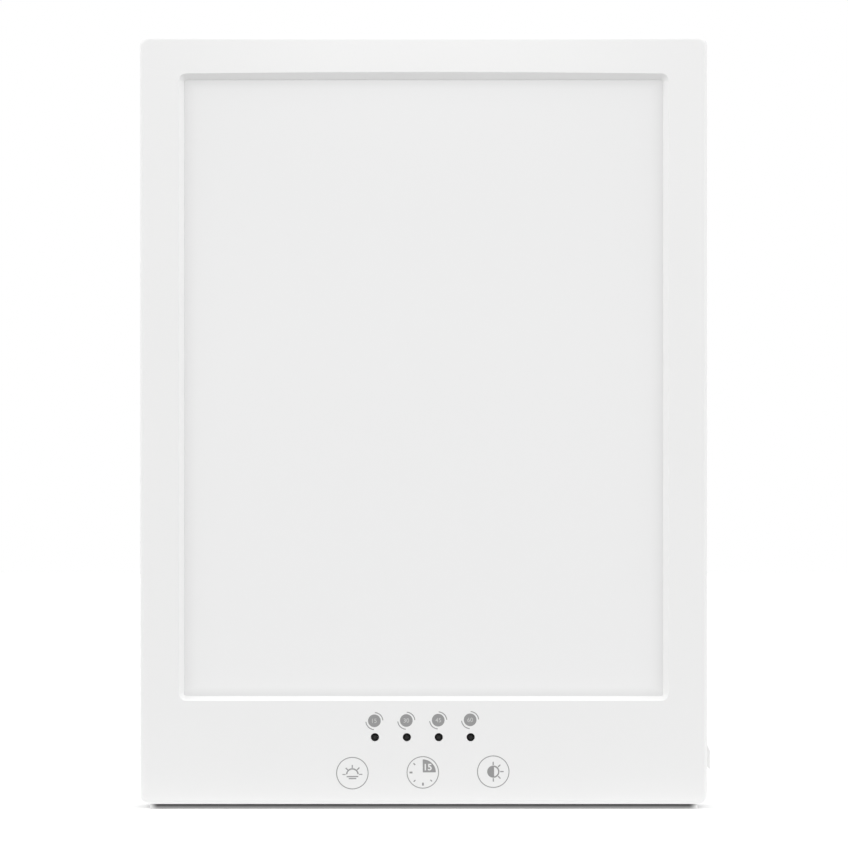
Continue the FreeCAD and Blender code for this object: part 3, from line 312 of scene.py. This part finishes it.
def piece(name, mesh, mat, body="housing", smooth=False):
    """Object for a mesh in millimetres, riding on a body."""
    mesh.transform(Matrix.Scale(MM, 4))
    mesh.materials.clear()
    mesh.materials.append(mat)
    for face in mesh.polygons:
        face.use_smooth = smooth
    obj = added(name, mesh)
    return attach(obj, body)


def mesh_of(name, bm):
    """Mesh from a bmesh, which it uses up."""
    mesh = bpy.data.meshes.new(name)
    bm.to_mesh(mesh)
    bm.free()
    return mesh


def evaluated_mesh(obj):
    """New mesh of an object as its modifiers shape it."""
    bpy.context.view_layer.update()
    return bpy.data.meshes.new_from_object(obj.evaluated_get(bpy.context.evaluated_depsgraph_get()))


def stroke(points, width, closed=False):
    """Flat faces of a line of some width along flat points."""
    half = width / 2
    pairs = []
    count = len(points)
    for i, p in enumerate(points):
        before = points[i - 1] if closed or i else p
        after = points[(i + 1) % count] if closed or i < count - 1 else p
        along = (Vector(after) - Vector(before)).normalized()
        side = Vector((-along.y, along.x)) * half
        pairs.append((Vector(p) + side, Vector(p) - side))
    quads = []
    for i in range(count if closed else count - 1):
        a, b = pairs[i], pairs[(i + 1) % count]
        quads.append([a[0], a[1], b[1], b[0]])
    return quads


def arc(radius, start, end, steps=48):
    """Points of an arc about the middle, angles in degrees."""
    turn = [math.radians(start + (end - start) * i / steps) for i in range(steps + 1)]
    return [(radius * math.cos(t), radius * math.sin(t)) for t in turn]


def line(u0, v0, u1, v1, width):
    return stroke([(u0, v0), (u1, v1)], width)


def rays(rows):
    """Lines that point away from the middle, from rows of angle, inner and outer radius, width."""
    faces = []
    for angle, inner, outer, width in rows:
        t = math.radians(angle)
        faces += line(inner * math.cos(t), inner * math.sin(t), outer * math.cos(t),
                      outer * math.sin(t), width)
    return faces


def shifted(faces, u, v):
    return [[Vector(p) + Vector((u, v)) for p in f] for f in faces]


def letters(text, height, bold):
    """Flat faces of a text, centred, in millimetres."""
    curve = bpy.data.curves.new("letters", "FONT")
    curve.body = text
    curve.align_x = "CENTER"
    curve.align_y = "CENTER"
    curve.size = height / CAP_SHARE
    curve.offset = bold
    curve.resolution_u = 6
    obj = added("letters", curve)
    mesh = evaluated_mesh(obj)
    faces = [[Vector(mesh.vertices[i].co[:2]) for i in f.vertices] for f in mesh.polygons]
    bpy.data.objects.remove(obj)
    bpy.data.curves.remove(curve)
    bpy.data.meshes.remove(mesh)
    low = [min(p[k] for f in faces for p in f) for k in (0, 1)]
    high = [max(p[k] for f in faces for p in f) for k in (0, 1)]
    return shifted(faces, -(low[0] + high[0]) / 2, -(low[1] + high[1]) / 2)


def layer_mesh(name, faces, place, low, high):
    """Thin printed layer: flat faces raised from one height to another, through place(u, v, h)."""
    bm = bmesh.new()
    for f in faces:
        bm.faces.new([bm.verts.new((p[0], p[1], 0)) for p in f])
    bmesh.ops.remove_doubles(bm, verts=bm.verts, dist=1e-4)
    made = bmesh.ops.extrude_face_region(bm, geom=bm.faces[:])
    top = {v for v in made["geom"] if isinstance(v, bmesh.types.BMVert)}
    spots = [(v, place(v.co.x, v.co.y, high if v in top else low)) for v in bm.verts]
    for v, spot in spots:
        v.co = spot
    bmesh.ops.recalc_face_normals(bm, faces=bm.faces)
    return mesh_of(name, bm)


def lathe(name, profile, steps=64):
    """Mesh turned about the Y axis from (radius, y) points; radius 0 closes an end."""
    bm = bmesh.new()
    rings = []
    for radius, y in profile:
        if radius == 0:
            rings.append([bm.verts.new((0, y, 0))])
        else:
            rings.append([bm.verts.new((radius * math.cos(2 * math.pi * i / steps), y,
                                        radius * math.sin(2 * math.pi * i / steps)))
                          for i in range(steps)])
    for a, b in zip(rings, rings[1:]):
        for i in range(steps):
            j = (i + 1) % steps
            loop = [a[i % len(a)], a[j % len(a)], b[j % len(b)], b[i % len(b)]]
            bm.faces.new(list(dict.fromkeys(loop)))
    bmesh.ops.recalc_face_normals(bm, faces=bm.faces)
    return mesh_of(name, bm)


def joined(name, meshes):
    """One mesh from several."""
    bm = bmesh.new()
    for m in meshes:
        bm.from_mesh(m)
        bpy.data.meshes.remove(m)
    return mesh_of(name, bm)


def moved(mesh, x, y, z):
    mesh.transform(Matrix.Translation((x, y, z)))
    return mesh


# --- Camera, in millimetres ------------------------------------------------------------
CAMERA_DISTANCE = 1950.8       # in front of the face
CAMERA_X = 0.145
CAMERA_Z = 159.5
camera = added("camera", bpy.data.cameras.new("camera"))
camera.data.sensor_width = 36.0
camera.data.lens = 200.0
camera.location = Vector((CAMERA_X, FACE_Y - CAMERA_DISTANCE, CAMERA_Z)) * MM
camera.rotation_euler = (math.radians(90), 0, 0)
bpy.context.scene.camera = camera

# --- Print on the face, in millimetres -------------------------------------------------
PRINT_TILT = math.radians(0.6)  # the print sits slightly askew on the face
INK_TOP = 0.02                 # the print stands proud of the face
INK_ROOT = -0.02               # and reaches into it
NUMBER_TOP = 0.03              # the numbers stand proud of their grey fields
NUMBER_ROOT = 0.01
THIN = 0.48                    # line widths of the signs
FAINT = 0.40
RING_RADIUS = 6.52
RING_LINE = 0.36
LABEL_RISE = 7.02              # label discs above the row of LEDs
DISC_RADIUS = 2.62
SWIRL_RADIUS = 3.52
SWIRL_LINE = 0.38


def on_face(u0, v0):
    """Print placed about a point of the face, with the print's own tilt."""
    cos = math.cos(PRINT_TILT)
    sin = math.sin(PRINT_TILT)
    x0 = KEY_X[1] + (u0 - KEY_X[1]) * cos - (v0 - KEY_Z) * sin
    z0 = KEY_Z + (u0 - KEY_X[1]) * sin + (v0 - KEY_Z) * cos

    def place(u, v, h):
        return Vector((x0 + u * cos - v * sin, FACE_Y - h, z0 + u * sin + v * cos))
    return place


def face_print(name, faces, u0, v0, mat=print_grey, low=INK_ROOT, high=INK_TOP):
    return piece(name, layer_mesh(name, faces, on_face(u0, v0), low, high), mat)


for side, x in zip(("left", "centre", "right"), KEY_X):
    face_print(f"key_ring_{side}", stroke(arc(RING_RADIUS, 0, 357, 119), RING_LINE, True), x, KEY_Z)

# wake light: half a sun with its rays over two lines
sunrise = shifted(stroke(arc(2.36, 4, 176, 40), 0.56), 0, -0.6)
for u0, v0, u1, v1, width in ((0, 2.15, 0, 3.4, THIN), (-1.8, 1.3, -2.75, 2.15, THIN),
                              (1.95, 1.3, 2.95, 2.3, THIN), (-4.1, -0.53, -2.8, -0.53, FAINT),
                              (2.8, -0.53, 4.15, -0.53, FAINT), (-2.4, -1.42, 2.45, -1.42, THIN),
                              (-1.5, -2.25, 1.6, -2.25, THIN)):
    sunrise += line(u0, v0, u1, v1, width)
face_print("sign_wake", sunrise, KEY_X[0], KEY_Z)

# timer: a filled quarter with its minutes, and five ticks round the rest
quarter = [[(0, 0)] + arc(5.4, 0, 90, 24)]
ticks = rays(((135, 4.4, 5.4, 0.50), (180, 4.3, 5.5, 0.72), (225, 4.4, 5.4, 0.50),
              (270, 4.25, 5.45, 0.76), (315, 4.4, 5.3, 0.46)))
face_print("sign_timer", quarter + ticks, KEY_X[1], KEY_Z)
face_print("sign_timer_number", shifted(letters("15", 2.6, 0.1), 2.25, 2.15), KEY_X[1], KEY_Z,
           print_white, NUMBER_ROOT, NUMBER_TOP)

# brightness: a disc with its left half filled, and rays round the right half
half_sun = [arc(2.5, 82, 278, 40)] + stroke(arc(2.27, -81, 81, 40), 0.58)
half_sun += rays(((90, 2.65, 4.1, THIN), (-90, 2.7, 4.1, THIN), (0, 2.9, 4.3, THIN),
                  (44, 2.75, 4.1, THIN), (-44, 2.75, 4.1, THIN)))
face_print("sign_brightness", half_sun, KEY_X[2], KEY_Z)

# timer labels above the LEDs: a disc between two arcs
for x, minutes in zip(LED_X, ("15", "30", "45", "60")):
    z = LED_Z + LABEL_RISE
    label = [arc(DISC_RADIUS, 0, 354, 59)]
    for start in (4, 184):
        swirl = stroke(arc(SWIRL_RADIUS, start, start + 82, 24), SWIRL_LINE)
        label += shifted(swirl, 0, -0.1)
    face_print(f"label_{minutes}", label, x, z)
    face_print(f"label_number_{minutes}", letters(minutes, 1.75, 0.0), x, z, print_pale,
               NUMBER_ROOT, NUMBER_TOP)

# --- Indicator LEDs: domed lenses on a flange ------------------------------------------
FLANGE = 0.25                  # beyond the lens
FLANGE_THICKNESS = 0.9
lens_front = led_low.y
lens_back = led_high.y
dome = [(0, lens_front)]
dome += [(LED_RADIUS * math.sin(t), lens_front + LED_RADIUS * (1 - math.cos(t)))
         for t in [math.radians(9 * i) for i in range(1, 11)]]
dome += [(LED_RADIUS, lens_back - FLANGE_THICKNESS - 0.1),
         (LED_RADIUS + FLANGE, lens_back - FLANGE_THICKNESS),
         (LED_RADIUS + FLANGE, lens_back), (0, lens_back)]
lenses = [moved(lathe("lens", dome, 48), x, 0, LED_Z) for x in LED_X]
leds = piece("indicator_lenses", joined("indicator_lenses", lenses), led_smoked,
             smooth=True)
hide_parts("indicator_leds")

# --- Housing screws: pan heads with a cross recess -------------------------------------
HEAD_RADIUS = 2.8
HEAD_HEIGHT = 2.1
THREAD_RADIUS = 1.48
CORE_RADIUS = 1.15
THREAD_PITCH = 1.0
ARM_REACH = 1.6                # from the cutter's middle to the end of an arm, at its top
ARM_HALF_WIDTH = 0.45
ARM_TAPER = 0.45               # the reach at the recess's floor as a share of that at the top
RECESS_FLOOR = 0.8             # heights above the seat of the head
CUTTER_TOP = 3.0
SAME_POINT = 1e-4              # points closer than this coincide
screw_low, screw_high = [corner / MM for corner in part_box("housing_screws")]
seat_y = screw_high.y - HEAD_HEIGHT
tip_y = screw_low.y
screw_x = screw_high.x - HEAD_RADIUS
screw_spots = [(x, z) for x in (-screw_x, screw_x)
               for z in (screw_low.z + HEAD_RADIUS, screw_high.z - HEAD_RADIUS)]

head = [(0, HEAD_HEIGHT), (0.95, 2.06), (1.7, 1.9), (2.35, 1.5), (2.7, 0.9), (HEAD_RADIUS, 0.35),
        (HEAD_RADIUS, 0), (1.5, 0)]
screw_profile = [(radius, seat_y + rise) for radius, rise in head]
for turn in range(round((seat_y - tip_y) / THREAD_PITCH) - 1):
    turn_y = seat_y - turn * THREAD_PITCH
    screw_profile += [(THREAD_RADIUS, turn_y - 0.3), (CORE_RADIUS, turn_y - 0.55),
                      (THREAD_RADIUS, turn_y - 0.8)]
screw_profile += [(1.2, tip_y + 0.6), (0.5, tip_y), (0, tip_y)]
screws = [moved(lathe("screw", screw_profile, 48), x, 0, z) for x, z in screw_spots]
screw_obj = piece("pan_screws", joined("pan_screws", screws), screw_zinc,
                  smooth=True)


def recess_cutter(x, z):
    """Cross that cuts a screw's recess, with arms that are shorter at its floor than at its top."""
    bm = bmesh.new()
    ends = []
    for reach, rise in ((ARM_REACH * ARM_TAPER, RECESS_FLOOR), (ARM_REACH, CUTTER_TOP)):
        corners = [(reach, -ARM_HALF_WIDTH), (reach, ARM_HALF_WIDTH),
                   (ARM_HALF_WIDTH, ARM_HALF_WIDTH)]
        cross = []
        for quarter in range(4):
            cross += corners
            corners = [(-v, u) for u, v in corners]
        ends.append([bm.verts.new((x + u, seat_y + rise, z + v)) for u, v in cross])
        bm.faces.new(ends[-1])
    floor_end, top_end = ends
    for i in range(len(floor_end)):
        j = (i + 1) % len(floor_end)
        bm.faces.new([floor_end[i], floor_end[j], top_end[j], top_end[i]])
    bmesh.ops.recalc_face_normals(bm, faces=bm.faces)
    return mesh_of("cutter", bm)


# All recesses are cut at once, and points that coincide become one: the corners of a cross lie on
# edges of the head, where slits and stray faces could stay otherwise.
cutter = joined("cutter", [recess_cutter(x, z) for x, z in screw_spots])
cutter.transform(Matrix.Scale(MM, 4))
tool = added("cutter", cutter)
recess = screw_obj.modifiers.new("recess", "BOOLEAN")
recess.operation = "DIFFERENCE"
recess.solver = "EXACT"
recess.object = tool
shaped = evaluated_mesh(screw_obj)
bm = bmesh.new()
bm.from_mesh(shaped)
bmesh.ops.remove_doubles(bm, verts=bm.verts, dist=SAME_POINT * MM)
bm.to_mesh(shaped)
bm.free()
screw_obj.modifiers.clear()
screw_obj.data = shaped
bpy.data.objects.remove(tool)
bpy.data.meshes.remove(cutter)
screw_obj.data.set_sharp_from_angle(angle=math.radians(35))
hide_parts("housing_screws")

# --- Rocker marks ----------------------------------------------------------------------
MARK_PLACE = 0.52              # the mark's middle, as a share of the half's length
MARK_TOP = 0.015
MARK_ROOT = -0.01


def on_rocker(half):
    """Print placed on the upper (1) or lower (-1) half of the rocker's face."""
    cos = math.cos(HALF_TRAVEL)
    sin = math.sin(HALF_TRAVEL)

    def place(u, v, h):
        reach = ROCKER_FACE * MARK_PLACE + v * half
        x = RIDGE - reach * sin + h * cos
        z = half * (reach * cos + h * sin)
        return Vector((PIVOT[0] + x * cos - z * sin, PIVOT[1] + u, PIVOT[2] + x * sin + z * cos))
    return place


for name, faces, half in (("rocker_on", line(0, -1.3, 0, 1.3, 0.45), 1),
                          ("rocker_off", stroke(arc(1.25, 0, 352, 44), 0.42, True), -1)):
    mark = layer_mesh(name, faces, on_rocker(half), MARK_ROOT, MARK_TOP)
    piece(name, mark, print_grey, "rocker")

# --- Inlet: centre contact -------------------------------------------------------------
CONTACT_RADIUS = 1.0
CONTACT_TIP = 1.2              # depths behind the inlet's mouth
CONTACT_FOOT = 9.5
jack_low, jack_high = [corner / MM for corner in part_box("dc_jack")]
mouth = jack_high.y
contact = [(0, mouth - CONTACT_TIP), (0.55, mouth - 1.3), (0.9, mouth - 1.7),
           (CONTACT_RADIUS, mouth - 2.4), (CONTACT_RADIUS, mouth - CONTACT_FOOT),
           (0, mouth - CONTACT_FOOT)]
pin = moved(lathe("inlet_contact", contact, 40), (jack_low.x + jack_high.x) / 2, 0,
            (jack_low.z + jack_high.z) / 2)
piece("inlet_contact", pin, screw_zinc, smooth=True)

# --- Floor, in metres: white to look at; it throws a soft glow on the lamp's lower edge -
FLOOR_HALF_SIZE = 3
FLOOR_WHITE = (0.95, 0.95, 0.95, 1)
FLOOR_BOUNCE = (0.25, 0.25, 0.25, 1)
GLOW_REACH = 0.12              # from the line under the face
GLOW_NARROWING = 40.0          # power that draws the brightest part to the line
GLOW_AT_LINE = 0.85
GLOW_NEAR = 0.10
GLOW_FAR = 0.26
corners = [(u * FLOOR_HALF_SIZE, v * FLOOR_HALF_SIZE, 0)
           for u, v in ((-1, -1), (1, -1), (1, 1), (-1, 1))]
floor_mesh = bpy.data.meshes.new("floor")
floor_mesh.from_pydata(corners, [], [(0, 1, 2, 3)])
floor = added("floor", floor_mesh)
floor_mat = bpy.data.materials.new("floor_white")
floor_mat.use_nodes = True
graph = Graph(floor_mat.node_tree)
graph.nodes.clear()
ahead = graph.math("ADD", graph.axes("Object")["Y"], -FACE_Y * MM)
near = graph.ramp(graph.math("ABSOLUTE", ahead), GLOW_REACH, 0.0, 0.0, 1.0)
wide_glow = graph.math("MULTIPLY_ADD", near, GLOW_NEAR, GLOW_FAR)
glow = graph.math("MULTIPLY_ADD", graph.math("POWER", near, GLOW_NARROWING), GLOW_AT_LINE, wide_glow)
emission = graph.feed(graph.add("Emission"), {"Strength": glow})
bounce = graph.feed(graph.add("BsdfDiffuse"), {"Color": FLOOR_BOUNCE})
lighting = graph.feed(graph.add("AddShader"), {0: bounce.outputs["BSDF"],
                                               1: emission.outputs["Emission"]})
shown = graph.feed(graph.add("BsdfDiffuse"), {"Color": FLOOR_WHITE})
choice = graph.feed(graph.add("MixShader"), {"Fac": graph.seen_directly(),
                                             1: lighting.outputs["Shader"],
                                             2: shown.outputs["BSDF"]})
graph.feed(graph.add("OutputMaterial"), {"Surface": choice.outputs["Shader"]})
floor_mesh.materials.append(floor_mat)

# --- World: white to look at; its light grows upward and toward the sides --------------
SKY_RISE = (-0.1, 0.9)         # between these upward parts of the direction
SKY_LIGHT = (0.978, 1.612)     # the light grows by this
SKY_MIDDLE = 0.667             # share of it from straight ahead
SKY_ASIDE = 0.70               # added toward the sides
FLANK = (0.55, 0.85)           # sideways parts of the direction where the flanks brighten
FLANK_GAIN = 0.42
BEHIND = (-0.1, 0.35)          # where the light from behind falls off
BEHIND_LOSS = 0.14
FLANK_BEHIND_LOSS = 0.60
world = bpy.data.worlds.new("studio")
bpy.context.scene.world = world
world.use_nodes = True
graph = Graph(world.node_tree)
graph.nodes.clear()
toward = graph.axes("Generated")
upward = graph.ramp(toward["Z"], *SKY_RISE, *SKY_LIGHT)
aside = graph.math("ABSOLUTE", toward["X"])
flank = graph.ramp(aside, *FLANK, 0.0, 1.0, "SMOOTHSTEP")
behind = graph.ramp(toward["Y"], *BEHIND, 0.0, 1.0)
sideways = graph.math("ADD", graph.math("MULTIPLY_ADD", aside, SKY_ASIDE, SKY_MIDDLE),
                      graph.math("MULTIPLY", flank, FLANK_GAIN))
loss = graph.math("MULTIPLY", behind,
                  graph.math("MULTIPLY_ADD", flank, FLANK_BEHIND_LOSS, BEHIND_LOSS))
strength = graph.math("MULTIPLY", graph.math("MULTIPLY", upward, sideways),
                      graph.math("SUBTRACT", 1.0, loss))
sky = graph.feed(graph.add("Background"), {"Color": (1, 1, 1, 1), "Strength": strength})
plain = graph.feed(graph.add("Background"), {"Color": (1, 1, 1, 1), "Strength": 1.0})
choice = graph.feed(graph.add("MixShader"), {"Fac": graph.seen_directly(),
                                             1: sky.outputs["Background"],
                                             2: plain.outputs["Background"]})
graph.feed(graph.add("OutputWorld"), {"Surface": choice.outputs["Shader"]})

# --- Small lamp in front of and over the upper border, in metres -----------------------
OVERHEAD_AHEAD = 0.045
OVERHEAD_Z = 0.352
overhead = bpy.data.lights.new("overhead", "AREA")
overhead.shape = "RECTANGLE"
overhead.size = 0.16
overhead.size_y = 0.05
overhead.energy = 0.0055
overhead_obj = added("overhead", overhead)
overhead_obj.location = (0, FACE_Y * MM - OVERHEAD_AHEAD, OVERHEAD_Z)
overhead_obj.rotation_euler = (math.radians(50), 0, 0)

bpy.context.scene.view_settings.view_transform = "Standard"
